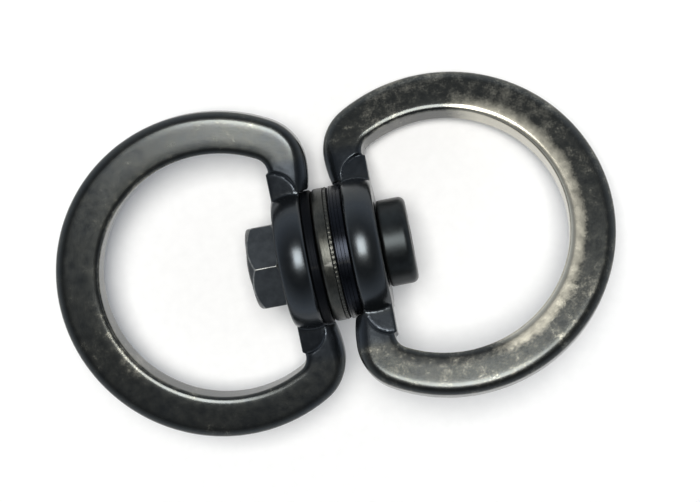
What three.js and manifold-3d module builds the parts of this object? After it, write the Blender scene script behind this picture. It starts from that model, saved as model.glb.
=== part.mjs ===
// Double-ring swivel: two flat D-shaped rings that turn about one common bolt, with a caged ball
// thrust bearing between their bosses. The bolt's round head sits inside one ring and a hex nut
// inside the other, so a pull on the rings is carried by the bolt alone.
//
// Millimetres. The origin is the middle of the bearing, on the bolt's axis. +X runs along that
// axis from the nut to the bolt's head, +Z is square to the nut-side ring's flat face.

import * as THREE from "three";
import { mergeVertices } from "three/addons/utils/BufferGeometryUtils.js";
import Module from "manifold-3d";

// ---------------------------------------------------------------- driving dimensions

const DEGREE = Math.PI / 180;

// Ring: a flat loop whose outer and inner outlines are circles cut off at the bar.
const RING_OUTER_RADIUS = 22.5;
const RING_INNER_RADIUS = 16.8;
const RING_THICKNESS = 4.5;
const RING_EDGE_RADIUS = 0.75;
const LOOP_CENTRE_X = 15.8; // centre of the outer circle, from the middle of the swivel
const INNER_SHIFT = 0.4; // the inner circle sits this much nearer to the bar
const SHOULDER_X = 1.05; // nearest that a loop's shoulders come to the middle plane
const SHOULDER_RADIUS = 7.0;
const FLANK_RADIUS = 15.0; // from the shoulder down to the bearing
const INNER_CORNER_RADIUS = 2.2;
const BAR_FAR_X = 6.35; // the bar's side towards the opening

// Boss: the round drum in the middle of each ring's bar.
const BOSS_NEAR_X = 2.8; // face towards the bearing
const BOSS_FAR_X = 6.85; // face towards the ring's opening
const BOSS_RADIUS = 9.5;
const BOSS_CROWN_RADIUS = 5.0; // the rim is crowned, not straight
const BOSS_CROWN_X = 4.3; // the crown's highest place, nearer to the bearing than to the opening
const BOSS_EDGE = 0.3;
const BORE_RADIUS = 3.57;
const SEAT_RADIUS = 9.5; // round recess that makes room for the bearing between the shoulders

// Neck: beside the boss each flat face changes to a pad with one round corner, and a small valley
// parts the pad from the loop. Both fall away from the bearing towards the opening.
const PAD_NEAR_X = 3.1;
const PAD_FAR_X = 6.75;
const PAD_END_Y = 12.55;
const PAD_DROP = 0.1; // from the loop's flat face, at the end near the bearing
const PAD_CORNER_RADIUS = 3.3;
const PAD_EDGE = 0.2;
const VALLEY_DROP = 0.16;
const VALLEY_WIDTH = 0.2; // between the pad and the loop
const VALLEY_CORNER_RADIUS = 3.5;
const NECK_TAPER = 0.06; // share of its height that the neck loses in each millimetre

// Pin: a shouldered bolt and its nut.
const SHANK_RADIUS = 3.5;
const END_PLAY = 0.1;
const HEAD_RADIUS = 5.95;
const HEAD_LENGTH = 3.95;
const HEAD_CHAMFER = 0.4; // at the boss
const HEAD_BEVEL = 0.95; // at the outer end
const THREAD_RADIUS = 3.0;
const THREAD_CLEARANCE = 0.12;
const STAKED_END = 0.5; // how far the bolt's domed end stands out of the nut
const NUT_ACROSS_FLATS = 11;
const NUT_LENGTH = 4.2;
const NUT_END_RADIUS = 5.3; // flat part of the nut's outer end
const NUT_TAPER = 0.9; // length of the outer end's taper, at the corners
const NUT_INNER_CHAMFER = 0.35;
const NUT_CLOCKING = -6.5 * DEGREE;
const SOCKET_ACROSS_FLATS = 4;
const SOCKET_DEPTH = 2;

// Bearing: two grooved races with a two-piece cage of balls between them.
const RACE_RADIUS = 9.15;
const RACE_EDGE = 0.2;
const RACE_GAP = 0.05; // between a race's back and its boss
const NUT_SIDE_RACE_FACE_X = -1.5;
const HEAD_SIDE_RACE_FACE_X = 0.9;
const CAGE_RADIUS = 9.15;
const CAGE_BORE_RADIUS = 4.1;
const CAGE_GAP = 0.1; // between the cage and each race's face
const CAGE_SEAM_X = 0.3;
const CAGE_SEAM_GAP = 0.04;
const CAGE_ROUNDING = 0.7; // rolled edge on the body's outer rim
const BALL_RADIUS = 1.389; // 7/64 inch balls
const BALL_COUNT = 12;
const BALL_PITCH_RADIUS = 6.4;
const BALL_X = -0.3;
const GROOVE_CLEARANCE = 0.04;
const POCKET_RADIUS = 1.46;
const POCKET_LIP_RADIUS = 1.3; // smaller than a ball, so that it can't fall out
const POCKET_LIP_X = -1.0;

// Turn of the head-side ring about the bolt, as the object lies at rest.
const RING_REST_TURN = -22.5 * DEGREE;

// Facets.
const ROUND_SEGMENTS = 40;
const OUTER_ARC_SEGMENTS = 46;
const INNER_ARC_SEGMENTS = 35; // odd, so that one facet faces the bar squarely
const CORNER_SEGMENTS = 8;
const FILLET_SEGMENTS = 5;
const EDGE_SEGMENTS = 2;

// ---------------------------------------------------------------- solids

const wasm = await Module();
wasm.setup();

// A closed three.js geometry as a manifold-3d solid.
function solidOf(geometry) {
  const bare = new THREE.BufferGeometry();
  const source = geometry.index ? geometry.toNonIndexed() : geometry;
  bare.setAttribute("position", source.getAttribute("position").clone());
  const merged = mergeVertices(bare, 1e-4);
  return new wasm.Manifold(
    new wasm.Mesh({
      numProp: 3,
      vertProperties: new Float32Array(merged.attributes.position.array),
      triVerts: new Uint32Array(merged.index.array),
    }),
  );
}

// A manifold-3d solid as a three.js geometry with flat facets.
function geometryOf(solid) {
  const mesh = solid.getMesh();
  const geometry = new THREE.BufferGeometry();
  geometry.setAttribute("position", new THREE.BufferAttribute(mesh.vertProperties, 3));
  geometry.setIndex(new THREE.BufferAttribute(mesh.triVerts, 1));
  const flat = geometry.toNonIndexed();
  flat.computeVertexNormals();
  return flat;
}

// Points along an arc, both ends included, as [x, y] pairs.
function arc(centreX, centreY, radius, from, to, segments) {
  return Array.from({ length: segments + 1 }, (_, i) => {
    const angle = from + ((to - from) * i) / segments;
    return [centreX + radius * Math.cos(angle), centreY + radius * Math.sin(angle)];
  });
}

// A closed outline of [distance along X, radius] points, turned round the X axis.
function turned(outline, segments = ROUND_SEGMENTS) {
  const signedArea = outline.reduce((sum, [x, r], i) => {
    const [nextX, nextR] = outline[(i + 1) % outline.length];
    return sum + x * nextR - nextX * r;
  }, 0);
  const ordered = signedArea < 0 ? [...outline] : [...outline].reverse();
  const points = [...ordered, ordered[0]].map(([x, r]) => new THREE.Vector2(r, x));
  const geometry = new THREE.LatheGeometry(points, segments);
  geometry.rotateZ(-Math.PI / 2);
  return solidOf(geometry);
}

// A cylinder along X between two places.
function rod(fromX, toX, radius, segments = ROUND_SEGMENTS) {
  const geometry = new THREE.CylinderGeometry(radius, radius, toX - fromX, segments);
  geometry.rotateZ(-Math.PI / 2);
  geometry.translate((fromX + toX) / 2, 0, 0);
  return solidOf(geometry);
}

// A hexagonal bar along X, with one corner towards +Z.
function hexBar(fromX, toX, acrossFlats) {
  const bar = new THREE.CylinderGeometry(
    acrossFlats / Math.sqrt(3),
    acrossFlats / Math.sqrt(3),
    toX - fromX,
    6,
  );
  bar.rotateZ(-Math.PI / 2);
  bar.translate((fromX + toX) / 2, 0, 0);
  return solidOf(bar);
}

// ---------------------------------------------------------------- D-ring

// Outer outline: a large arc, a shoulder arc and a flank arc on each side, and a straight run
// across the boss.
function outerOutline() {
  const shoulderX = SHOULDER_X + SHOULDER_RADIUS;
  const flankX = SHOULDER_X + FLANK_RADIUS;
  const shoulderY = Math.sqrt(
    (RING_OUTER_RADIUS - SHOULDER_RADIUS) ** 2 - (LOOP_CENTRE_X - shoulderX) ** 2,
  );
  const join = Math.atan2(shoulderY, shoulderX - LOOP_CENTRE_X);
  const meetsBoss = 2 * Math.PI - Math.acos((BOSS_NEAR_X - flankX) / FLANK_RADIUS);
  const loop = arc(LOOP_CENTRE_X, 0, RING_OUTER_RADIUS, -join, join, OUTER_ARC_SEGMENTS);
  const shoulder = arc(shoulderX, shoulderY, SHOULDER_RADIUS, join, Math.PI, CORNER_SEGMENTS);
  const flank = arc(flankX, shoulderY, FLANK_RADIUS, Math.PI, meetsBoss, FILLET_SEGMENTS);
  const side = [...shoulder.slice(1), ...flank.slice(1)];
  const mirrored = side.map(([x, y]) => [x, -y]).reverse();
  return [...loop, ...side, ...mirrored];
}

// Inner outline: an arc with a fillet at each end of the bar.
function innerOutline() {
  const centreX = LOOP_CENTRE_X - INNER_SHIFT;
  const filletX = BAR_FAR_X + INNER_CORNER_RADIUS;
  const filletY = Math.sqrt(
    (RING_INNER_RADIUS - INNER_CORNER_RADIUS) ** 2 - (centreX - filletX) ** 2,
  );
  const join = Math.atan2(filletY, filletX - centreX);
  const loop = arc(centreX, 0, RING_INNER_RADIUS, -join, join, INNER_ARC_SEGMENTS);
  const fillet = arc(filletX, filletY, INNER_CORNER_RADIUS, join, Math.PI, FILLET_SEGMENTS);
  const mirrored = fillet.map(([x, y]) => [x, -y]).reverse();
  return [...loop, ...fillet.slice(1), ...mirrored.slice(0, -1)];
}

// The flat loop and its bar, with rounded edges.
function loopSolid() {
  const asPoints = (outline) => outline.map(([x, y]) => new THREE.Vector2(x, y));
  const shape = new THREE.Shape(asPoints(outerOutline()));
  shape.holes.push(new THREE.Path(asPoints(innerOutline())));
  const depth = RING_THICKNESS - 2 * RING_EDGE_RADIUS;
  const geometry = new THREE.ExtrudeGeometry(shape, {
    depth,
    bevelEnabled: true,
    bevelThickness: RING_EDGE_RADIUS,
    bevelSize: RING_EDGE_RADIUS,
    bevelOffset: -RING_EDGE_RADIUS,
    bevelSegments: EDGE_SEGMENTS,
  });
  geometry.translate(0, 0, -depth / 2);
  return solidOf(geometry);
}

// The crowned drum round the bolt.
function bossSolid() {
  const nearReach = Math.asin((BOSS_CROWN_X - BOSS_NEAR_X - BOSS_EDGE) / BOSS_CROWN_RADIUS);
  const farReach = Math.asin((BOSS_FAR_X - BOSS_EDGE - BOSS_CROWN_X) / BOSS_CROWN_RADIUS);
  const rim = arc(
    BOSS_CROWN_X,
    BOSS_RADIUS - BOSS_CROWN_RADIUS,
    BOSS_CROWN_RADIUS,
    Math.PI / 2 + nearReach,
    Math.PI / 2 - farReach,
    6,
  );
  return turned([
    [BOSS_NEAR_X, BORE_RADIUS - 1],
    [BOSS_NEAR_X, rim[0][1] - BOSS_EDGE],
    ...rim,
    [BOSS_FAR_X, rim.at(-1)[1] - BOSS_EDGE],
    [BOSS_FAR_X, BORE_RADIUS - 1],
  ]);
}

// A block on one side of the boss, with a round corner towards the bearing and the loop. Its
// middle is at the height middleZ, and it gets lower towards the opening.
function neckBlock(sideY, nearX, farX, endY, cornerRadius, height, middleZ) {
  const corner = arc(
    nearX + cornerRadius,
    endY - cornerRadius,
    cornerRadius,
    Math.PI,
    Math.PI / 2,
    CORNER_SEGMENTS,
  );
  const outline = [[nearX, 0], ...corner, [farX, endY], [farX, 0]];
  const shape = new THREE.Shape(outline.map(([x, y]) => new THREE.Vector2(x, sideY * y)));
  const geometry = new THREE.ExtrudeGeometry(shape, {
    depth: height - 2 * PAD_EDGE,
    bevelEnabled: true,
    bevelThickness: PAD_EDGE,
    bevelSize: PAD_EDGE,
    bevelOffset: -PAD_EDGE,
    bevelSegments: 1,
  });
  geometry.translate(0, 0, middleZ + PAD_EDGE - height / 2);
  const position = geometry.getAttribute("position");
  for (let i = 0; i < position.count; i++) {
    const taper = 1 - NECK_TAPER * (position.getX(i) - PAD_NEAR_X);
    position.setZ(i, taper * position.getZ(i));
  }
  return solidOf(geometry);
}

// The pad between the boss and the loop, on both faces.
function padSolid(sideY) {
  const height = RING_THICKNESS - 2 * PAD_DROP;
  return neckBlock(sideY, PAD_NEAR_X, PAD_FAR_X, PAD_END_Y, PAD_CORNER_RADIUS, height, 0);
}

// Cuts one flat face down to the floor of the valley.
function valleyCutter(sideY, sideZ) {
  return neckBlock(
    sideY,
    PAD_NEAR_X - VALLEY_WIDTH,
    BOSS_FAR_X + 2,
    PAD_END_Y + VALLEY_WIDTH,
    VALLEY_CORNER_RADIUS,
    RING_THICKNESS,
    sideZ * (RING_THICKNESS - VALLEY_DROP),
  );
}

// A whole ring that opens towards +X.
function ringGeometry() {
  let bar = loopSolid().subtract(rod(-BOSS_FAR_X, BOSS_NEAR_X, SEAT_RADIUS));
  for (const sideY of [-1, 1]) {
    for (const sideZ of [-1, 1]) {
      bar = bar.subtract(valleyCutter(sideY, sideZ));
    }
    bar = bar.add(padSolid(sideY));
  }
  const ring = bar.add(bossSolid());
  return geometryOf(ring.subtract(rod(0, 2 * BOSS_FAR_X, BORE_RADIUS)));
}

// ---------------------------------------------------------------- bearing

// A flat washer with a ball groove in the face at faceX. The other face is at backX.
function raceGeometry(faceX, backX) {
  const side = Math.sign(backX - faceX);
  const washer = turned([
    [faceX, BORE_RADIUS],
    [faceX, RACE_RADIUS - RACE_EDGE],
    [faceX + side * RACE_EDGE, RACE_RADIUS],
    [backX - side * RACE_EDGE, RACE_RADIUS],
    [backX, RACE_RADIUS - RACE_EDGE],
    [backX, BORE_RADIUS],
  ]);
  const groove = turned(
    arc(BALL_X, BALL_PITCH_RADIUS, BALL_RADIUS + GROOVE_CLEARANCE, 0, 2 * Math.PI, 24).slice(1),
  );
  return geometryOf(washer.subtract(groove));
}

// Angle of one ball round the bolt.
const ballAngle = (index) => (2 * Math.PI * index) / BALL_COUNT;

// Cuts one round pocket for each ball.
function withPockets(solid, fromX, toX, radius) {
  let cut = solid;
  for (let i = 0; i < BALL_COUNT; i++) {
    const geometry = new THREE.CylinderGeometry(radius, radius, toX - fromX, 14);
    geometry.rotateZ(-Math.PI / 2);
    geometry.translate((fromX + toX) / 2, 0, BALL_PITCH_RADIUS);
    geometry.rotateX(ballAngle(i));
    cut = cut.subtract(solidOf(geometry));
  }
  return cut;
}

// The wide half of the cage, whose outer rim is rolled over on the nut's side.
function cageBodyGeometry() {
  const startX = NUT_SIDE_RACE_FACE_X + CAGE_GAP;
  const rolled = arc(
    startX + CAGE_ROUNDING,
    CAGE_RADIUS - CAGE_ROUNDING,
    CAGE_ROUNDING,
    Math.PI,
    Math.PI / 2,
    4,
  );
  const body = turned([
    [startX, CAGE_BORE_RADIUS],
    ...rolled,
    [CAGE_SEAM_X - CAGE_SEAM_GAP / 2, CAGE_RADIUS],
    [CAGE_SEAM_X - CAGE_SEAM_GAP / 2, CAGE_BORE_RADIUS],
  ]);
  const lipped = withPockets(body, startX - 1, CAGE_SEAM_X + 1, POCKET_LIP_RADIUS);
  return geometryOf(withPockets(lipped, POCKET_LIP_X, CAGE_SEAM_X + 1, POCKET_RADIUS));
}

// The thin half of the cage, which closes the pockets on the head's side.
function cageCoverGeometry() {
  const startX = CAGE_SEAM_X + CAGE_SEAM_GAP / 2;
  const endX = HEAD_SIDE_RACE_FACE_X - CAGE_GAP;
  const cover = turned([
    [startX, CAGE_BORE_RADIUS],
    [startX, CAGE_RADIUS],
    [endX - RACE_EDGE / 2, CAGE_RADIUS],
    [endX, CAGE_RADIUS - RACE_EDGE / 2],
    [endX, CAGE_BORE_RADIUS],
  ]);
  return geometryOf(withPockets(cover, startX - 1, endX + 1, POCKET_LIP_RADIUS));
}

// ---------------------------------------------------------------- pin

// Round head with a hex socket, shank, and a thinner threaded end with a domed tip.
function boltGeometry() {
  const headX = BOSS_FAR_X + END_PLAY;
  const headEnd = headX + HEAD_LENGTH;
  const shoulderX = -BOSS_FAR_X - END_PLAY + 0.02;
  const tipX = -BOSS_FAR_X - END_PLAY - NUT_LENGTH - STAKED_END;
  const bolt = turned([
    [tipX, 0],
    [tipX, THREAD_RADIUS - STAKED_END],
    [tipX + STAKED_END, THREAD_RADIUS],
    [shoulderX, THREAD_RADIUS],
    [shoulderX, SHANK_RADIUS],
    [headX, SHANK_RADIUS],
    [headX, HEAD_RADIUS - HEAD_CHAMFER],
    [headX + HEAD_CHAMFER, HEAD_RADIUS],
    [headEnd - HEAD_BEVEL, HEAD_RADIUS],
    [headEnd - HEAD_BEVEL * 0.3, HEAD_RADIUS - HEAD_BEVEL * 0.3],
    [headEnd, HEAD_RADIUS - HEAD_BEVEL],
    [headEnd, 0],
  ]);
  const socket = hexBar(headEnd - SOCKET_DEPTH, headEnd + 1, SOCKET_ACROSS_FLATS);
  return geometryOf(bolt.subtract(socket));
}

// Hex nut, tapered at its outer end and slightly chamfered at the boss.
function nutGeometry() {
  const startX = -BOSS_FAR_X - END_PLAY - NUT_LENGTH;
  const endX = -BOSS_FAR_X - END_PLAY;
  const cornerRadius = NUT_ACROSS_FLATS / Math.sqrt(3) + 0.01;
  const envelope = turned([
    [startX, 0],
    [startX, NUT_END_RADIUS],
    [startX + NUT_TAPER, cornerRadius],
    [endX - NUT_INNER_CHAMFER, cornerRadius],
    [endX, cornerRadius - NUT_INNER_CHAMFER],
    [endX, 0],
  ]);
  const hole = rod(startX - 1, endX + 1, THREAD_RADIUS + THREAD_CLEARANCE);
  return geometryOf(hexBar(startX, endX, NUT_ACROSS_FLATS).intersect(envelope).subtract(hole));
}

// ---------------------------------------------------------------- assembly

const blackFinish = { color: 0x24272b, roughness: 0.38, metalness: 0.85 };
const steelFinish = { color: 0x6d706b, roughness: 0.42, metalness: 0.9 };
const ballFinish = { color: 0xb9bcc0, roughness: 0.15, metalness: 1.0 };

// One named piece with a material of its own.
function piece(name, geometry, finish) {
  const mesh = new THREE.Mesh(geometry, new THREE.MeshStandardMaterial(finish));
  mesh.name = name;
  return mesh;
}

const nutSideRing = new THREE.Group();
const nutSideLoop = piece("ring_nut_side", ringGeometry(), blackFinish);
nutSideLoop.rotation.z = Math.PI;
nutSideRing.add(nutSideLoop);
nutSideRing.add(
  piece("race_nut_side", raceGeometry(NUT_SIDE_RACE_FACE_X, -BOSS_NEAR_X + RACE_GAP), blackFinish),
);

const headSideRing = new THREE.Group();
headSideRing.rotation.x = RING_REST_TURN;
headSideRing.add(piece("ring_head_side", ringGeometry(), blackFinish));
headSideRing.add(
  piece("race_head_side", raceGeometry(HEAD_SIDE_RACE_FACE_X, BOSS_NEAR_X - RACE_GAP), blackFinish),
);

const ballSet = new THREE.Group();
ballSet.add(piece("cage_body", cageBodyGeometry(), steelFinish));
ballSet.add(piece("cage_cover", cageCoverGeometry(), steelFinish));
for (let i = 0; i < BALL_COUNT; i++) {
  const ball = piece(
    "ball_" + String(i + 1).padStart(2, "0"),
    new THREE.SphereGeometry(BALL_RADIUS, 12, 8),
    ballFinish,
  );
  ball.rotation.x = Math.PI / 2;
  ball.position.set(
    BALL_X,
    -BALL_PITCH_RADIUS * Math.sin(ballAngle(i)),
    BALL_PITCH_RADIUS * Math.cos(ballAngle(i)),
  );
  ballSet.add(ball);
}

const swivelPin = new THREE.Group();
swivelPin.rotation.x = NUT_CLOCKING;
swivelPin.add(piece("swivel_bolt", boltGeometry(), blackFinish));
swivelPin.add(piece("hex_nut", nutGeometry(), blackFinish));

const swivel = new THREE.Group();
swivel.add(nutSideRing, headSideRing, ballSet, swivelPin);

export default swivel;
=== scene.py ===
"""Looks for the double-ring swivel. Everything is in metres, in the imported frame: the bolt lies
along X with its nut at -X and its round head at +X, and the nut-side ring's flat face is up."""

import math

import bmesh
import bpy
from mathutils import Matrix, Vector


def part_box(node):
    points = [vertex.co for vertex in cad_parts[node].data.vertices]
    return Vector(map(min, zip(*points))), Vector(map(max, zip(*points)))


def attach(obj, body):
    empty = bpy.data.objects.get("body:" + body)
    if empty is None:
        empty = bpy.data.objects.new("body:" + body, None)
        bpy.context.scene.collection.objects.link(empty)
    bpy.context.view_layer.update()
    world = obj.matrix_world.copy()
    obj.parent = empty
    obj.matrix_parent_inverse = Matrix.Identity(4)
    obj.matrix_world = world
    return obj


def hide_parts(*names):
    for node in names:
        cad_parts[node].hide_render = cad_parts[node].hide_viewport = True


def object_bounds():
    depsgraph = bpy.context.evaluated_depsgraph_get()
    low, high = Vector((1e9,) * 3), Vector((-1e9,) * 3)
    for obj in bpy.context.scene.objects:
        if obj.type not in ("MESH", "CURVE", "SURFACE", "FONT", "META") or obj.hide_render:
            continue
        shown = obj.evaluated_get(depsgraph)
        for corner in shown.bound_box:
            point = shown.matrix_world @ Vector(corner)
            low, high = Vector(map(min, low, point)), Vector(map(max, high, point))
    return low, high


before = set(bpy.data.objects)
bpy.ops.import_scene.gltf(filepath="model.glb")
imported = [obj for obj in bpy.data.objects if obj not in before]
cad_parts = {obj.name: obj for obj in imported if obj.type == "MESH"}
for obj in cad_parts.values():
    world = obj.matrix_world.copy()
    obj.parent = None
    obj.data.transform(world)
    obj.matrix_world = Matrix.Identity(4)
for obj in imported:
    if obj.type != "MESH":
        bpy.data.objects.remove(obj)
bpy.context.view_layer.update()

MM = 0.001

# ---------------------------------------------------------------- sizes, from the CAD pieces


def node_span(node, axis):
    """Lowest and highest coordinate of a CAD node along one axis (0, 1 or 2)."""
    low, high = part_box(node)
    return low[axis], high[axis]


NUT_START, NUT_END = node_span("hex_nut", 0)
BOLT_START, BOLT_END = node_span("swivel_bolt", 0)
NUT_RACE_BACK, NUT_RACE_FACE = node_span("race_nut_side", 0)
HEAD_RACE_FACE, HEAD_RACE_BACK = node_span("race_head_side", 0)
CAGE_START, CAGE_SEAM = node_span("cage_body", 0)
COVER_START, COVER_END = node_span("cage_cover", 0)
RACE_RADIUS = node_span("race_nut_side", 2)[1]
CAGE_RADIUS = node_span("cage_body", 2)[1]
HEAD_RADIUS = node_span("swivel_bolt", 2)[1]
RING_FAR = -node_span("ring_nut_side", 0)[0]
RING_OUTER_RADIUS = node_span("ring_nut_side", 1)[1]
BOSS_RADIUS = node_span("ring_nut_side", 2)[1]

# The ring's own shape.
LOOP_CENTRE = RING_FAR - RING_OUTER_RADIUS
RING_INNER_RADIUS = 16.8 * MM
RING_THICKNESS = 4.5 * MM
INNER_SHIFT = 0.4 * MM
SHOULDER = 1.05 * MM
SHOULDER_RADIUS = 7.0 * MM
FLANK_RADIUS = 15.0 * MM
INNER_CORNER_RADIUS = 2.2 * MM
BAR_FAR = 6.35 * MM
BOSS_NEAR = 2.8 * MM
BOSS_FAR = 6.85 * MM
BOSS_CROWN_RADIUS = 5.0 * MM
BOSS_CROWN_X = 4.3 * MM
BOSS_EDGE = 0.3 * MM
BORE_RADIUS = 3.57 * MM
SEAT_RADIUS = 9.5 * MM
HEAD_RING_TURN = math.radians(-22.5)

# Its edges: how far each rounding reaches over the face, and how far down the wall.
OUTER_REACH, OUTER_DROP = 1.4 * MM, 1.0 * MM
INNER_REACH, INNER_DROP = 0.9 * MM, 0.45 * MM
CROWN = 0.09 * MM  # the flat faces fall away this much towards their edges
CROWN_REACH = 2.0 * MM
BAR_HALF_LENGTH = 13.0 * MM  # the bar is too narrow for the crown
NECK_ROUNDING = 0.5  # share by which the outer edge's rounding grows beside the neck
NECK_ROUNDING_START, NECK_ROUNDING_END = 17.5 * MM, 12 * MM  # distances from the X axis

# Its wear and painted light. 0 is whole blacking and about 1 is bare steel. Each ring wears all over,
# the head-side ring a little lighter as painted light. A painted highlight band lies along the far side
# of each opening, strongest on the head-side ring, and painted shade darkens the necks.
NUT_RING_WEAR, NUT_RING_HIGHLIGHT = 0.41, 0.15
HEAD_RING_WEAR_AND_PAINTED_LIGHT, HEAD_RING_HIGHLIGHT = 0.48, 1.3
HIGHLIGHT_BAND_WIDTH = 2.8 * MM
HIGHLIGHT_BAND_START, HIGHLIGHT_BAND_FULL = 2 * MM, 10 * MM  # measured from the opening's centre
NECK_SHADE_MARGIN = 2 * MM  # how far past the pads the painted shade fades out
NECK_SHADE_FAR = 9 * MM
BOSS_SHADE_SHARE = 0.5  # the boss has only this share of the necks' painted shade
BOSS_BLEND = 0.8 * MM

# Its neck: a pad with one round corner on each side of the boss, and a small valley round the
# pad. Both start near the loop's face at the bearing's side and fall away towards the opening.
PAD_NEAR = 3.1 * MM
PAD_FAR = 6.75 * MM
PAD_END = 12.55 * MM
PAD_DROP = 0.1 * MM
PAD_CORNER_RADIUS = 3.3 * MM
PAD_EDGE = 0.2 * MM
VALLEY_DROP = 0.16 * MM
VALLEY_WIDTH = 0.2 * MM
VALLEY_CORNER_RADIUS = 3.5 * MM
VALLEY_SLOPE = 0.12 * MM  # the valley's side leans out by this much in its first bit of height
VALLEY_SLOPE_HEIGHT = 0.3 * MM
VALLEY_RUNOUT = 2 * MM
NECK_TAPER = 0.06 / MM  # share of its height that the neck loses per metre towards the opening

# The pin's shape.
HEAD_START = 6.95 * MM
HEAD_INNER_ROUNDING = 0.4 * MM
HEAD_BEVEL = 0.95 * MM
SHANK_RADIUS = 3.5 * MM
THREAD_RADIUS = 3.0 * MM
THREAD_START = BOSS_FAR + 0.08 * MM
TIP_PROFILE = ((0, 0.72), (0.15 * MM, 0.9), (0.5 * MM, 1))  # distance, share of the thread's radius
NUT_ACROSS_FLATS = 11 * MM
NUT_HOLE_RADIUS = 3.12 * MM
NUT_END_RADIUS = 5.3 * MM
NUT_TAPER = 0.9 * MM
NUT_INNER_CHAMFER = 0.35 * MM
PIN_CLOCKING = math.radians(-6.5)
SOCKET_ACROSS_FLATS = 4 * MM
SOCKET_DEPTH = 2 * MM

# The bearing's shape.
BALL_RADIUS = 1.389 * MM
CAGE_BORE_RADIUS = 4.1 * MM
CAGE_ROLL = 0.6 * MM
CAGE_BEVEL = 0.06 * MM
COVER_STUDS = 92
COVER_BEVEL = 0.04 * MM
COVER_END_BEVEL = 0.08 * MM
STUD_START = 0.1 * MM
STUD_LENGTH = 0.1 * MM
STUD_HEIGHT = 0.07 * MM
RACE_EDGE = 0.15 * MM
GROOVE_PITCH = 0.45 * MM
NUT_RACE_GROOVE = 0.02 * MM
HEAD_RACE_GROOVE = 0.035 * MM

# How finely the shapes are made.
LOOP_STEPS = 220
OPENING_STEPS = 180
CORNER_STEPS = 24
FLANK_STEPS = 16
EDGE_STEPS = 8
CROWN_STEPS = 3
RING_VOXEL = 0.13 * MM
SMALL_VOXEL = 0.09 * MM
BLUNTING = 25  # smoothing steps of the blunted copy that edges are measured against
MERGE_DISTANCE = 0.0001 * MM
CUT_MARGIN = 1 * MM
CREASE_ANGLE = math.radians(30)

# ---------------------------------------------------------------- mesh helpers


def mesh_object(name, bm):
    """Turns a bmesh into an object in the scene."""
    mesh = bpy.data.meshes.new(name)
    bmesh.ops.recalc_face_normals(bm, faces=bm.faces)
    bm.to_mesh(mesh)
    bm.free()
    obj = bpy.data.objects.new(name, mesh)
    bpy.context.scene.collection.objects.link(obj)
    return obj


def discard(obj):
    """Removes an object that was only a tool for shaping another."""
    mesh = obj.data
    bpy.data.objects.remove(obj)
    bpy.data.meshes.remove(mesh)


def apply_modifiers(obj):
    """Replaces an object's mesh with what its modifiers make of it."""
    depsgraph = bpy.context.evaluated_depsgraph_get()
    result = bpy.data.meshes.new_from_object(obj.evaluated_get(depsgraph))
    old = obj.data
    obj.modifiers.clear()
    obj.data = result
    bpy.data.meshes.remove(old)


def combine(obj, other, operation):
    """Joins another solid to obj, or cuts it away."""
    modifier = obj.modifiers.new("combine", "BOOLEAN")
    modifier.operation = operation
    modifier.solver = "EXACT"
    modifier.object = other
    apply_modifiers(obj)
    discard(other)


def add_smoothing(obj, iterations):
    """Adds a modifier that draws each point towards its neighbours."""
    smooth = obj.modifiers.new("smooth", "SMOOTH")
    smooth.factor = 0.5
    smooth.iterations = iterations


def mark_edges(obj, voxel):
    """Stores how far each point stands out from a blunted copy of the object, in voxels."""
    add_smoothing(obj, BLUNTING)
    sharp = obj.data.copy()
    apply_modifiers(obj)
    blunt = obj.data
    obj.data = sharp
    edge = sharp.attributes.new("edge", "FLOAT", "POINT")
    for vertex, blunted, value in zip(sharp.vertices, blunt.vertices, edge.data):
        value.value = (vertex.co - blunted.co).dot(vertex.normal) / voxel
    bpy.data.meshes.remove(blunt)


def soften(obj, voxel, smoothing):
    """Remeshes a solid into small even faces and rounds its sharp edges a little."""
    remesh = obj.modifiers.new("even_faces", "REMESH")
    remesh.mode = "VOXEL"
    remesh.voxel_size = voxel
    add_smoothing(obj, smoothing)
    apply_modifiers(obj)
    mark_edges(obj, voxel)


def fade(value, start, end):
    """0 before start, 1 after end, and a soft step between them."""
    share = min(max((value - start) / (end - start), 0), 1)
    return share * share * (3 - 2 * share)


def arc(centre_x, centre_y, radius, start, end, steps):
    """Points along an arc, both ends included."""
    angles = [start + (end - start) * i / steps for i in range(steps + 1)]
    return [(centre_x + radius * math.cos(a), centre_y + radius * math.sin(a)) for a in angles]


def turned(name, outline, segments=256, radius_change=None):
    """Turns a closed outline of (x, radius) points round the X axis. radius_change, if given, says
    how much the outline's point of a given number stands out at a given angle."""
    bm = bmesh.new()
    rings = []
    for index in range(segments):
        angle = 2 * math.pi * index / segments
        ring = []
        for number, (x, radius) in enumerate(outline):
            if radius_change:
                radius += radius_change(number, angle)
            ring.append(bm.verts.new((x, radius * math.cos(angle), radius * math.sin(angle))))
        rings.append(ring)
    for index, ring in enumerate(rings):
        following = rings[(index + 1) % segments]
        for number in range(len(outline)):
            after = (number + 1) % len(outline)
            bm.faces.new((ring[number], ring[after], following[after], following[number]))
    bmesh.ops.remove_doubles(bm, verts=bm.verts, dist=MERGE_DISTANCE)
    return mesh_object(name, bm)


def cylinder(name, start, end, radius, segments=128):
    """A cylinder along X."""
    bm = bmesh.new()
    bmesh.ops.create_cone(
        bm, cap_ends=True, segments=segments, radius1=radius, radius2=radius, depth=end - start
    )
    bm.transform(Matrix.Translation(((start + end) / 2, 0, 0)) @ Matrix.Rotation(math.pi / 2, 4, "Y"))
    return mesh_object(name, bm)


def hex_bar(name, start, end, across_flats):
    """A hexagonal bar along X with one corner towards +Z."""
    bar = cylinder(name, start, end, across_flats / math.sqrt(3), segments=6)
    bar.data.transform(Matrix.Rotation(math.radians(30), 4, "X"))
    return bar


def rounded_corner(x, radius, size, x_side, steps=5):
    """Points that round an outline's outer corner at (x, radius). x_side is +1 at its high-x end."""
    start, end = (math.pi / 2, 0) if x_side > 0 else (math.pi, math.pi / 2)
    return arc(x - x_side * size, radius - size, size, start, end, steps)


# ---------------------------------------------------------------- ring


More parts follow.
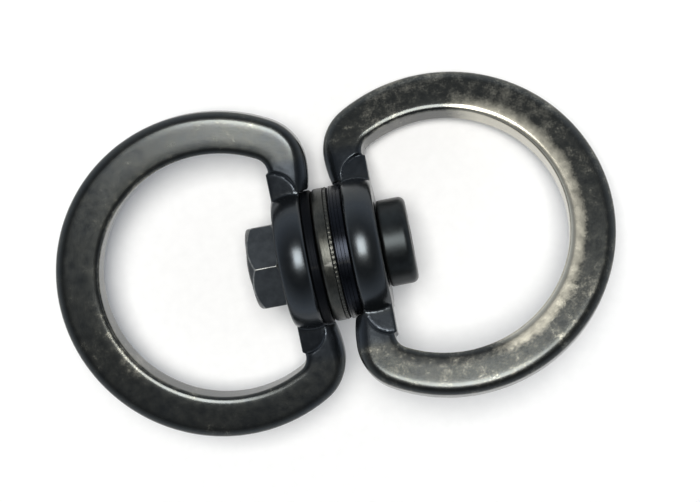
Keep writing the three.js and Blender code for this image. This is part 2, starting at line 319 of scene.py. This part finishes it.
def outer_outline(inset):
    """The ring's outer outline, moved inwards by inset."""
    shoulder_x = SHOULDER + SHOULDER_RADIUS
    flank_x = SHOULDER + FLANK_RADIUS
    reach = RING_OUTER_RADIUS - SHOULDER_RADIUS
    shoulder_y = math.sqrt(reach**2 - (LOOP_CENTRE - shoulder_x) ** 2)
    join = math.atan2(shoulder_y, shoulder_x - LOOP_CENTRE)
    radius = FLANK_RADIUS - inset
    meets_bar = 2 * math.pi - math.acos((BOSS_NEAR + inset - flank_x) / radius)
    loop = arc(LOOP_CENTRE, 0, RING_OUTER_RADIUS - inset, -join, join, LOOP_STEPS)
    shoulder = arc(shoulder_x, shoulder_y, SHOULDER_RADIUS - inset, join, math.pi, CORNER_STEPS)
    flank = arc(flank_x, shoulder_y, radius, math.pi, meets_bar, FLANK_STEPS)
    side = shoulder[1:] + flank[1:]
    return loop + side + [(x, -y) for x, y in reversed(side)]


def inner_outline(inset):
    """The opening's outline, moved into the metal by inset."""
    centre = LOOP_CENTRE - INNER_SHIFT
    fillet_x = BAR_FAR + INNER_CORNER_RADIUS
    reach = RING_INNER_RADIUS - INNER_CORNER_RADIUS
    fillet_y = math.sqrt(reach**2 - (centre - fillet_x) ** 2)
    join = math.atan2(fillet_y, fillet_x - centre)
    loop = arc(centre, 0, RING_INNER_RADIUS + inset, -join, join, OPENING_STEPS)
    radius = INNER_CORNER_RADIUS + inset
    fillet = arc(fillet_x, fillet_y, radius, join, math.pi, CORNER_STEPS)
    mirrored = [(x, -y) for x, y in reversed(fillet)]
    return loop + fillet[1:] + mirrored[:-1]


def edge_rows(reach, drop, crown_reach):
    """(inset, height) of each row from a ring's side wall, round the edge, to the crowned face."""
    top = RING_THICKNESS / 2
    rows = []
    for step in range(EDGE_STEPS + 1):
        angle = math.pi / 2 * step / EDGE_STEPS
        rows.append((reach * (1 - math.cos(angle)), top - drop * (1 - math.sin(angle))))
    last = max(crown_reach, reach + 0.1 * MM)
    for step in range(1, CROWN_STEPS + 1):
        rows.append((reach + (last - reach) * step / CROWN_STEPS, top))
    return [(inset, height - CROWN * max(0, 1 - inset / CROWN_REACH) ** 2) for inset, height in rows]


def neck_growth(x, y):
    """How many times its usual size the outer edge's rounding has at a point of the outline."""
    if x > LOOP_CENTRE:
        return 1
    return 1 + NECK_ROUNDING * fade(abs(y), NECK_ROUNDING_START, NECK_ROUNDING_END)


def wall(bm, outline, reach, drop, growth):
    """Builds the wall that follows an outline, with its rounded edges, and returns its lowest and
    highest edge loops. growth gives the size of the rounding at a point."""
    rims = outline(0)
    directions = []
    for (x, y), (moved_x, moved_y) in zip(rims, outline(MM)):
        directions.append(((moved_x - x) / MM, (moved_y - y) / MM))
    columns = []
    for (x, y), (across, along) in zip(rims, directions):
        on_bar = x < LOOP_CENTRE and abs(y) < BAR_HALF_LENGTH
        crown_reach = 0 if on_bar else CROWN_REACH
        scale = growth(x, y)
        upper = []
        for inset, height in edge_rows(reach * scale, drop * scale, crown_reach):
            upper.append((x + across * inset, y + along * inset, height))
        lower = [(x, y, -z) for x, y, z in reversed(upper)]
        columns.append([bm.verts.new(point) for point in lower + upper])
    for index, column in enumerate(columns):
        following = columns[(index + 1) % len(columns)]
        for row in range(len(column) - 1):
            bm.faces.new((column[row], following[row], following[row + 1], column[row + 1]))
    loops = []
    for row in (0, -1):
        ends = [(columns[i - 1][row], columns[i][row]) for i in range(len(columns))]
        loops.append([bm.edges.get(pair) for pair in ends])
    return loops


def loop_plate():
    """The flat D-shaped loop with its bar, opening towards +X."""
    bm = bmesh.new()
    outer_loops = wall(bm, outer_outline, OUTER_REACH, OUTER_DROP, neck_growth)
    inner_loops = wall(bm, inner_outline, INNER_REACH, INNER_DROP, lambda x, y: 1)
    for outer, inner in zip(outer_loops, inner_loops):
        bmesh.ops.triangle_fill(bm, use_beauty=True, edges=outer + inner)
    return mesh_object("loop_plate", bm)


def boss():
    """The crowned drum round the bolt, with a narrower hole than the bore that is cut later."""
    hole = BORE_RADIUS * 0.6
    near_reach = math.asin((BOSS_CROWN_X - BOSS_NEAR - BOSS_EDGE) / BOSS_CROWN_RADIUS)
    far_reach = math.asin((BOSS_FAR - BOSS_EDGE - BOSS_CROWN_X) / BOSS_CROWN_RADIUS)
    rim = arc(
        BOSS_CROWN_X,
        BOSS_RADIUS - BOSS_CROWN_RADIUS,
        BOSS_CROWN_RADIUS,
        math.pi / 2 + near_reach,
        math.pi / 2 - far_reach,
        CORNER_STEPS,
    )
    near = [(BOSS_NEAR, hole), (BOSS_NEAR, rim[0][1] - BOSS_EDGE)]
    far = [(BOSS_FAR, rim[-1][1] - BOSS_EDGE), (BOSS_FAR, hole)]
    return turned("boss", near + rim + far)


def neck_block(name, side_y, near, far, end, corner, rows):
    """A block on one side of the boss, with one round corner towards the bearing and the loop.
    rows are (inset, height) pairs from its underside to its top, at the end near the bearing."""
    bm = bmesh.new()
    layers = []
    for inset, height in rows:
        radius = corner - inset
        curve = arc(near + corner, end - corner, radius, math.pi, math.pi / 2, FLANK_STEPS)
        plan = [(near + inset, 0)] + curve + [(far - inset, end - inset), (far - inset, 0)]
        layer = []
        for x, y in plan:
            taper = 1 - NECK_TAPER * (x - PAD_NEAR)
            layer.append(bm.verts.new((x, side_y * y, taper * height)))
        layers.append(layer)
    for lower, upper in zip(layers, layers[1:]):
        for index in range(len(lower)):
            after = (index + 1) % len(lower)
            bm.faces.new((lower[index], lower[after], upper[after], upper[index]))
    bm.faces.new(layers[0])
    bm.faces.new(layers[-1])
    return mesh_object(name, bm)


def pad(side_y):
    """The raised pad between the boss and the loop, on both faces."""
    top = RING_THICKNESS / 2 - PAD_DROP
    rows = [(0, top - PAD_EDGE), (0.3 * PAD_EDGE, top - 0.3 * PAD_EDGE), (PAD_EDGE, top)]
    rows = [(inset, -height) for inset, height in reversed(rows)] + rows
    return neck_block("pad", side_y, PAD_NEAR, PAD_FAR, PAD_END, PAD_CORNER_RADIUS, rows)


def valley(side_y, side_z):
    """What is cut off one flat face, down to the floor of the valley round the pad."""
    bottom = RING_THICKNESS / 2 - VALLEY_DROP
    side = [(VALLEY_SLOPE, bottom), (0, bottom + VALLEY_SLOPE_HEIGHT), (0, 2 * RING_THICKNESS)]
    rows = [(inset, side_z * height) for inset, height in side]
    near = PAD_NEAR - VALLEY_WIDTH
    far = BOSS_FAR + VALLEY_RUNOUT
    end = PAD_END + VALLEY_WIDTH
    return neck_block("valley", side_y, near, far, end, VALLEY_CORNER_RADIUS, rows)


def mark_wear_and_painted_light(ring, plain, painted_highlight):
    """Stores each point's wear and painted light: plain wear, taken away in the necks and by half on
    the boss as painted shade, and raised by a painted highlight band along the far side of the opening."""
    wear_and_painted_light = ring.data.attributes.new("wear_and_painted_light", "FLOAT", "POINT")
    centre = LOOP_CENTRE - INNER_SHIFT
    for vertex, value in zip(ring.data.vertices, wear_and_painted_light.data):
        x, y, z = vertex.co
        from_opening = math.hypot(x - centre, y) - RING_INNER_RADIUS
        # A painted highlight band along the far side of the opening.
        band = fade(from_opening, HIGHLIGHT_BAND_WIDTH, 0)
        band *= fade(x, centre + HIGHLIGHT_BAND_START, centre + HIGHLIGHT_BAND_FULL)
        off_boss = fade(math.hypot(y, z), BOSS_RADIUS, BOSS_RADIUS + BOSS_BLEND)
        # Painted shade in the necks, and by half on the boss.
        neck_shade = fade(abs(y), PAD_END + NECK_SHADE_MARGIN, PAD_END) * fade(x, NECK_SHADE_FAR, BOSS_FAR)
        neck_shade *= BOSS_SHADE_SHARE + (1 - BOSS_SHADE_SHARE) * off_boss
        value.value = plain * (1 - neck_shade) + (1 - plain) * painted_highlight * band


def ring_at_origin():
    """A whole ring that opens towards +X."""
    ring = loop_plate()
    combine(ring, cylinder("seat", -BOSS_FAR, BOSS_NEAR, SEAT_RADIUS), "DIFFERENCE")
    for side_y in (-1, 1):
        for side_z in (-1, 1):
            combine(ring, valley(side_y, side_z), "DIFFERENCE")
        combine(ring, pad(side_y), "UNION")
    combine(ring, boss(), "UNION")
    combine(ring, cylinder("bore", 0, 2 * BOSS_FAR, BORE_RADIUS), "DIFFERENCE")
    soften(ring, RING_VOXEL, 4)
    return ring


# ---------------------------------------------------------------- pin


def bolt():
    """Round head with a hex socket, shank, and a thinner end that is domed over the nut."""
    head = [(HEAD_START, SHANK_RADIUS)]
    head += rounded_corner(HEAD_START, HEAD_RADIUS, HEAD_INNER_ROUNDING, -1)
    head += rounded_corner(BOLT_END, HEAD_RADIUS, HEAD_BEVEL, 1, 8)
    head += [(BOLT_END, 0)]
    tip = [(BOLT_START, 0)]
    tip += [(BOLT_START + distance, THREAD_RADIUS * share) for distance, share in TIP_PROFILE]
    tip += [(-THREAD_START, THREAD_RADIUS), (-THREAD_START, SHANK_RADIUS)]
    body = turned("swivel_bolt_skin", tip + head)
    bottom = BOLT_END - SOCKET_DEPTH
    socket = hex_bar("socket", bottom, BOLT_END + CUT_MARGIN, SOCKET_ACROSS_FLATS)
    combine(body, socket, "DIFFERENCE")
    soften(body, SMALL_VOXEL, 6)
    return body


def nut():
    """Hex nut, tapered at its outer end and slightly chamfered at the boss."""
    corner = NUT_ACROSS_FLATS / math.sqrt(3)
    envelope = turned(
        "envelope",
        [
            (NUT_START, 0),
            (NUT_START, NUT_END_RADIUS),
            (NUT_START + NUT_TAPER, corner),
            (NUT_END - NUT_INNER_CHAMFER, corner),
            (NUT_END, corner - NUT_INNER_CHAMFER),
            (NUT_END, 0),
        ],
    )
    body = hex_bar("hex_nut_skin", NUT_START, NUT_END, NUT_ACROSS_FLATS)
    combine(body, envelope, "INTERSECT")
    hole = cylinder("hole", NUT_START - CUT_MARGIN, NUT_END + CUT_MARGIN, NUT_HOLE_RADIUS)
    combine(body, hole, "DIFFERENCE")
    soften(body, SMALL_VOXEL, 8)
    return body


# ---------------------------------------------------------------- bearing


def race(name, face, back, groove):
    """A turned washer with fine tool grooves of the given depth round its rim."""
    side = 1 if back > face else -1
    outline = [
        (face, BORE_RADIUS),
        (face, RACE_RADIUS - RACE_EDGE),
        (face + side * RACE_EDGE, RACE_RADIUS),
    ]
    x = face + side * 2 * RACE_EDGE
    while abs(back - x) > RACE_EDGE + 2 * groove:
        outline.append((x, RACE_RADIUS))
        outline.append((x + side * groove, RACE_RADIUS - groove))
        outline.append((x + side * 2 * groove, RACE_RADIUS))
        x += side * GROOVE_PITCH
    outline.append((back - side * RACE_EDGE, RACE_RADIUS))
    outline.append((back, RACE_RADIUS - RACE_EDGE))
    outline.append((back, BORE_RADIUS))
    return turned(name, outline)


def cage_body():
    """The wide, plain half of the cage, with its rim rolled over on the nut's side."""
    outline = (
        [(CAGE_START, CAGE_BORE_RADIUS)]
        + rounded_corner(CAGE_START, CAGE_RADIUS, CAGE_ROLL, -1, 8)
        + [(CAGE_SEAM - CAGE_BEVEL, CAGE_RADIUS), (CAGE_SEAM, CAGE_RADIUS - CAGE_BEVEL)]
        + [(CAGE_SEAM, CAGE_BORE_RADIUS)]
    )
    return turned("cage_body_skin", outline)


def cage_cover():
    """The thin half of the cage, with a row of tiny studs round its rim."""
    rim = CAGE_RADIUS - STUD_HEIGHT
    stud = COVER_START + STUD_START
    outline = [
        (COVER_START, CAGE_BORE_RADIUS),
        (COVER_START, rim - COVER_BEVEL),
        (COVER_START + COVER_BEVEL, rim),
        (stud, rim),
        (stud + STUD_LENGTH, rim),
        (COVER_END - COVER_END_BEVEL, rim),
        (COVER_END, rim - COVER_END_BEVEL),
        (COVER_END, CAGE_BORE_RADIUS),
    ]
    stud_points = (3, 4)

    def studs(number, angle):
        """How far the rim stands out at one of its points."""
        if number not in stud_points:
            return 0
        return STUD_HEIGHT * max(0, math.cos(COVER_STUDS * angle))

    return turned("cage_cover_skin", outline, segments=COVER_STUDS * 8, radius_change=studs)


def ball(node):
    """A ball in the middle of its CAD node."""
    low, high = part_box(node)
    bm = bmesh.new()
    bmesh.ops.create_uvsphere(bm, u_segments=40, v_segments=20, radius=BALL_RADIUS)
    bmesh.ops.translate(bm, verts=bm.verts, vec=(low + high) / 2)
    return mesh_object(node, bm)


# ---------------------------------------------------------------- materials


class Graph:
    """Short names for building one node material."""

    def __init__(self, name):
        self.material = bpy.data.materials.new(name)
        self.material.use_nodes = True
        self.nodes = self.material.node_tree.nodes
        self.links = self.material.node_tree.links
        self.shader = self.nodes["Principled BSDF"]
        self.place = self.nodes.new("ShaderNodeTexCoord").outputs["Object"]

    def noise(self, size, detail=4, roughness=0.6, stretch=None):
        """Noise whose features are about size metres across."""
        node = self.nodes.new("ShaderNodeTexNoise")
        node.inputs["Scale"].default_value = 1 / size
        node.inputs["Detail"].default_value = detail
        node.inputs["Roughness"].default_value = roughness
        source = self.place
        if stretch:
            mapping = self.nodes.new("ShaderNodeMapping")
            mapping.inputs["Scale"].default_value = stretch
            self.links.new(source, mapping.inputs["Vector"])
            source = mapping.outputs["Vector"]
        self.links.new(source, node.inputs["Vector"])
        return node.outputs["Fac"]

    def ramp(self, value, stops):
        """A colour ramp of (position, grey or colour) stops."""
        node = self.nodes.new("ShaderNodeValToRGB")
        elements = node.color_ramp.elements
        while len(elements) < len(stops):
            elements.new(0.5)
        for element, (position, colour) in zip(elements, stops):
            rgb = colour if isinstance(colour, tuple) else (colour,) * 3
            element.position = position
            element.color = (*rgb, 1)
        self.links.new(value, node.inputs["Fac"])
        return node.outputs["Color"]

    def mix(self, factor, low, high):
        """Blends two colours by a factor."""
        node = self.nodes.new("ShaderNodeMix")
        node.data_type = "RGBA"
        self.links.new(factor, node.inputs["Factor"])
        for source, socket in ((low, node.inputs["A"]), (high, node.inputs["B"])):
            if isinstance(source, tuple):
                socket.default_value = (*source, 1)
            else:
                self.links.new(source, socket)
        return node.outputs["Result"]

    def math(self, operation, first, second):
        """Combines two values by an arithmetic operation."""
        node = self.nodes.new("ShaderNodeMath")
        node.operation = operation
        for source, socket in zip((first, second), node.inputs):
            if isinstance(source, (int, float)):
                socket.default_value = source
            else:
                self.links.new(source, socket)
        return node.outputs["Value"]

    def attribute(self, name):
        """A number stored on the mesh."""
        node = self.nodes.new("ShaderNodeAttribute")
        node.attribute_name = name
        return node.outputs["Fac"]

    def worn_edges(self, softened):
        """1 on outer edges, 0 on flat and hollow places. Only softened pieces store their edges."""
        if softened:
            return self.ramp(self.attribute("edge"), [(0.12, 0.0), (0.45, 1.0)])
        geometry = self.nodes.new("ShaderNodeNewGeometry")
        return self.ramp(geometry.outputs["Pointiness"], [(0.56, 0.0), (0.64, 1.0)])

    def bump(self, height, distance, strength, onto=None):
        """Roughens the surface by a height, on top of another bump if one is given."""
        node = self.nodes.new("ShaderNodeBump")
        node.inputs["Distance"].default_value = distance
        node.inputs["Strength"].default_value = strength
        self.links.new(height, node.inputs["Height"])
        if onto:
            self.links.new(onto, node.inputs["Normal"])
        return node.outputs["Normal"]

    def connect(self, socket, source):
        """Feeds a value into one of the shader's sockets."""
        self.links.new(source, self.shader.inputs[socket])


def cast_black_oxide():
    """Blackened satin casting, finely mottled, and rubbed down to warm grey steel where it wears; the stored
    wear also carries painted shade in the necks and a painted highlight band along the opening.
    """
    g = Graph("cast_black_oxide")
    mottle = g.noise(1.3 * MM, 6, 0.65)
    grain = g.noise(0.22 * MM, 3, 0.7)
    patches = g.noise(8 * MM, 3, 0.55)
    wear_and_painted_light = g.math("ADD", g.attribute("wear_and_painted_light"), g.math("MULTIPLY", g.worn_edges(True), 0.2))
    uneven = g.math("ADD", g.math("MULTIPLY", mottle, 0.4), g.math("MULTIPLY", grain, 0.35))
    uneven = g.math("ADD", uneven, g.math("MULTIPLY", patches, 0.35))
    wear_and_painted_light = g.math("ADD", wear_and_painted_light, g.math("SUBTRACT", uneven, 0.55))
    # The light warm stops are bare rubbed steel and also paint the highlight band along the opening; the
    # darkest stops take the necks' painted shade.
    base = g.ramp(
        wear_and_painted_light,
        [
            (0.02, (0.036, 0.042, 0.05)),
            (0.3, (0.042, 0.047, 0.051)),
            (0.5, (0.058, 0.061, 0.058)),
            (0.7, (0.32, 0.31, 0.265)),
            (0.95, (0.5, 0.48, 0.41)),
        ],
    )
    g.connect("Base Color", base)
    g.connect("Roughness", g.ramp(mottle, [(0.3, 0.21), (0.7, 0.28)]))
    g.shader.inputs["Metallic"].default_value = 0.9
    soft = g.bump(mottle, 0.01 * MM, 0.5)
    g.connect("Normal", g.bump(grain, 0.005 * MM, 0.6, soft))
    return g.material


def turned_black_oxide(name, tint, roughness, edge_wear_and_highlight, softened):
    """Smooth, oily black finish on a machined piece."""
    g = Graph(name)
    cloud = g.noise(1.5 * MM, 5, 0.6)
    lathe = g.noise(0.4 * MM, 3, 0.5, (9, 1, 1))
    dark = tuple(0.7 * c for c in tint)
    base = g.ramp(cloud, [(0.35, dark), (0.65, tint)])
    edges = g.math("MULTIPLY", g.worn_edges(softened), g.ramp(cloud, [(0.35, 0.2), (0.6, 0.9)]))
    g.connect("Base Color", g.mix(edges, base, edge_wear_and_highlight))
    g.connect("Roughness", g.ramp(cloud, [(0.3, roughness), (0.7, roughness + 0.09)]))
    g.shader.inputs["Metallic"].default_value = 0.9
    g.connect("Normal", g.bump(lathe, 0.005 * MM, 0.5))
    return g.material


def burnished_steel():
    """Bare steel, dulled brown-grey, with fine marks running round it."""
    g = Graph("burnished_steel")
    cloud = g.noise(1.2 * MM, 5, 0.65)
    rings = g.noise(0.35 * MM, 3, 0.6, (6, 0.6, 0.6))
    grey = g.ramp(cloud, [(0.3, (0.026, 0.028, 0.026)), (0.7, (0.056, 0.057, 0.051))])
    streak = g.ramp(rings, [(0.45, 0.0), (0.7, 0.5)])
    brushed = g.mix(streak, grey, (0.1, 0.1, 0.092))
    g.connect("Base Color", g.mix(g.worn_edges(False), brushed, (0.16, 0.16, 0.15)))
    g.connect("Roughness", g.ramp(cloud, [(0.3, 0.3), (0.7, 0.42)]))
    g.shader.inputs["Metallic"].default_value = 0.95
    g.connect("Normal", g.bump(rings, 0.008 * MM, 0.6))
    return g.material


def ball_steel():
    """Polished ball, with faint scuffs."""
    g = Graph("ball_steel")
    scuffs = g.noise(0.3 * MM, 5, 0.7)
    g.connect("Base Color", g.ramp(scuffs, [(0.3, (0.55, 0.56, 0.58)), (0.7, (0.74, 0.75, 0.77))]))
    g.connect("Roughness", g.ramp(scuffs, [(0.35, 0.06), (0.7, 0.16)]))
    g.shader.inputs["Metallic"].default_value = 1.0
    return g.material


def paper_floor():
    """White sheet under the object."""
    g = Graph("paper_floor")
    fibres = g.noise(1.5 * MM, 5, 0.6)
    g.connect("Base Color", g.ramp(fibres, [(0.3, (0.92, 0.92, 0.93)), (0.7, (0.95, 0.95, 0.96))]))
    g.shader.inputs["Roughness"].default_value = 0.9
    g.shader.inputs["Specular IOR Level"].default_value = 0.1
    return g.material


# ---------------------------------------------------------------- assembly


def dress(obj, material, smooth=True):
    """Gives an object its one material and smooth shading."""
    obj.data.materials.clear()
    obj.data.materials.append(material)
    for polygon in obj.data.polygons:
        polygon.use_smooth = smooth


def mount(obj, node, body, material, creases=None):
    """Puts a finished piece in place of its CAD node. Its edges stay sharp past an angle of
    creases, if that is given."""
    obj.name = node + "_skin"
    dress(obj, material)
    if creases:
        obj.data.set_sharp_from_angle(angle=creases)
    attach(obj, body)
    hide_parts(node)


casting = cast_black_oxide()
# The nut's light edge colour is partly wear and partly a painted highlight along its hex edges.
nut_finish = turned_black_oxide(
    "nut_black_oxide", tint=(0.075, 0.082, 0.088), roughness=0.34, edge_wear_and_highlight=(0.6, 0.6, 0.57), softened=True
)
bolt_finish = turned_black_oxide(
    "bolt_black_oxide", tint=(0.025, 0.029, 0.031), roughness=0.33, edge_wear_and_highlight=(0.1, 0.1, 0.095), softened=True
)
race_finish = turned_black_oxide(
    "race_black_oxide", tint=(0.01, 0.012, 0.017), roughness=0.25, edge_wear_and_highlight=(0.02, 0.021, 0.022), softened=False
)
# Painted shade: the nut-side race gets a near-black, duller copy of the races' finish for the shade in the
# gap beside the boss.
race_painted_shade_finish = turned_black_oxide(
    "black_oxide_painted_shade", tint=(0.003, 0.004, 0.006), roughness=0.5, edge_wear_and_highlight=(0.01, 0.01, 0.011), softened=False
)
steel = burnished_steel()
polished = ball_steel()

nut_ring = ring_at_origin()
head_ring = nut_ring.copy()
head_ring.data = nut_ring.data.copy()
bpy.context.scene.collection.objects.link(head_ring)
mark_wear_and_painted_light(nut_ring, NUT_RING_WEAR, NUT_RING_HIGHLIGHT)
mark_wear_and_painted_light(head_ring, HEAD_RING_WEAR_AND_PAINTED_LIGHT, HEAD_RING_HIGHLIGHT)
nut_ring.data.transform(Matrix.Rotation(math.pi, 4, "Z"))
head_ring.data.transform(Matrix.Rotation(HEAD_RING_TURN, 4, "X"))
mount(nut_ring, "ring_nut_side", "nut_side", casting)
mount(head_ring, "ring_head_side", "head_side", casting)

for piece, node, finish in (
    (bolt(), "swivel_bolt", bolt_finish),
    (nut(), "hex_nut", nut_finish),
):
    piece.data.transform(Matrix.Rotation(PIN_CLOCKING, 4, "X"))
    mount(piece, node, "pin", finish)

nut_race = race("race_nut_side_skin", NUT_RACE_FACE, NUT_RACE_BACK, NUT_RACE_GROOVE)
head_race = race("race_head_side_skin", HEAD_RACE_FACE, HEAD_RACE_BACK, HEAD_RACE_GROOVE)
mount(nut_race, "race_nut_side", "nut_side", race_painted_shade_finish, CREASE_ANGLE)
mount(head_race, "race_head_side", "head_side", race_finish, CREASE_ANGLE)
mount(cage_body(), "cage_body", "ball_set", steel, CREASE_ANGLE)
mount(cage_cover(), "cage_cover", "ball_set", steel, CREASE_ANGLE)

for node in sorted(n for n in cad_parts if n.startswith("ball_")):
    mount(ball(node), node, "ball_set", polished)

# ---------------------------------------------------------------- stage, light and camera

FLOOR_SIZE = 3.0

# The camera looks nearly straight down, with the bolt's axis turned in the picture.
RING_LEAN = math.radians(8.5)  # how far the nut-side ring leans about X from facing the camera
HEAD_END_RAISED = math.radians(-3.95)
PICTURE_TURN = math.radians(10.9)
CAMERA_DISTANCE = 0.202
FOCAL_LENGTH = 76.1
SENSOR_WIDTH = 36
PICTURE_SHIFT_X, PICTURE_SHIFT_Y = 0.024, 0.0037

# The soft light, which leans this much from straight over the picture.
LIGHT_LEAN_X, LIGHT_LEAN_Y = math.radians(-3), math.radians(-4)
LIGHT_DISTANCE = 0.6
LIGHT_SIZE_X, LIGHT_SIZE_Y = 0.25, 0.275
LIGHT_POWER = 3.6
LIGHT_COLOUR = (1, 0.985, 0.94)

# The surroundings: pale at the horizon, and dim from this height upwards.
HORIZON_COLOUR = (0.86, 0.92, 1.0)
OVERHEAD_COLOUR = (0.05, 0.055, 0.062)
OVERHEAD_HEIGHT = 0.8
SURROUNDINGS_STRENGTH = 1.15


def studio_floor():
    """A flat sheet at the object's lowest point."""
    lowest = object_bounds()[0][2]
    bm = bmesh.new()
    bmesh.ops.create_grid(bm, x_segments=1, y_segments=1, size=FLOOR_SIZE / 2)
    bmesh.ops.translate(bm, verts=bm.verts, vec=(0, 0, lowest))
    return mesh_object("floor", bm)


def add_camera(tilt):
    """The scene's camera, over an object that is tilted by tilt."""
    data = bpy.data.cameras.new("camera")
    data.lens = FOCAL_LENGTH
    data.sensor_width = SENSOR_WIDTH
    data.clip_start = 1 * MM
    data.shift_x = PICTURE_SHIFT_X
    data.shift_y = PICTURE_SHIFT_Y
    view = Matrix.Rotation(PICTURE_TURN, 4, "Z") @ tilt
    camera = bpy.data.objects.new("camera", data)
    camera.matrix_world = view.inverted() @ Matrix.Translation((0, 0, CAMERA_DISTANCE))
    bpy.context.scene.collection.objects.link(camera)
    bpy.context.scene.camera = camera


def add_key_light(tilt):
    """A rectangular soft light that faces the object."""
    data = bpy.data.lights.new("key_light", "AREA")
    data.shape = "RECTANGLE"
    data.size = LIGHT_SIZE_X
    data.size_y = LIGHT_SIZE_Y
    data.energy = LIGHT_POWER
    data.color = LIGHT_COLOUR
    lean = Matrix.Rotation(LIGHT_LEAN_X, 4, "Y") @ Matrix.Rotation(LIGHT_LEAN_Y, 4, "X")
    light = bpy.data.objects.new("key_light", data)
    light.matrix_world = tilt.inverted() @ lean @ Matrix.Translation((0, 0, LIGHT_DISTANCE))
    bpy.context.scene.collection.objects.link(light)


def studio_world():
    """Soft surroundings that dim with height."""
    world = bpy.data.worlds.new("studio")
    world.use_nodes = True
    nodes, links = world.node_tree.nodes, world.node_tree.links
    direction = nodes.new("ShaderNodeTexCoord").outputs["Generated"]
    split = nodes.new("ShaderNodeSeparateXYZ")
    ramp = nodes.new("ShaderNodeValToRGB")
    low, high = ramp.color_ramp.elements
    low.position, low.color = 0.0, (*HORIZON_COLOUR, 1)
    high.position, high.color = OVERHEAD_HEIGHT, (*OVERHEAD_COLOUR, 1)
    links.new(direction, split.inputs["Vector"])
    links.new(split.outputs["Z"], ramp.inputs["Fac"])
    links.new(ramp.outputs["Color"], nodes["Background"].inputs["Color"])
    nodes["Background"].inputs["Strength"].default_value = SURROUNDINGS_STRENGTH
    return world


floor = studio_floor()
dress(floor, paper_floor(), smooth=False)

object_tilt = Matrix.Rotation(HEAD_END_RAISED, 4, "Y") @ Matrix.Rotation(RING_LEAN, 4, "X")
add_camera(object_tilt)
add_key_light(object_tilt)
bpy.context.scene.world = studio_world()
bpy.context.scene.view_settings.view_transform = "Standard"
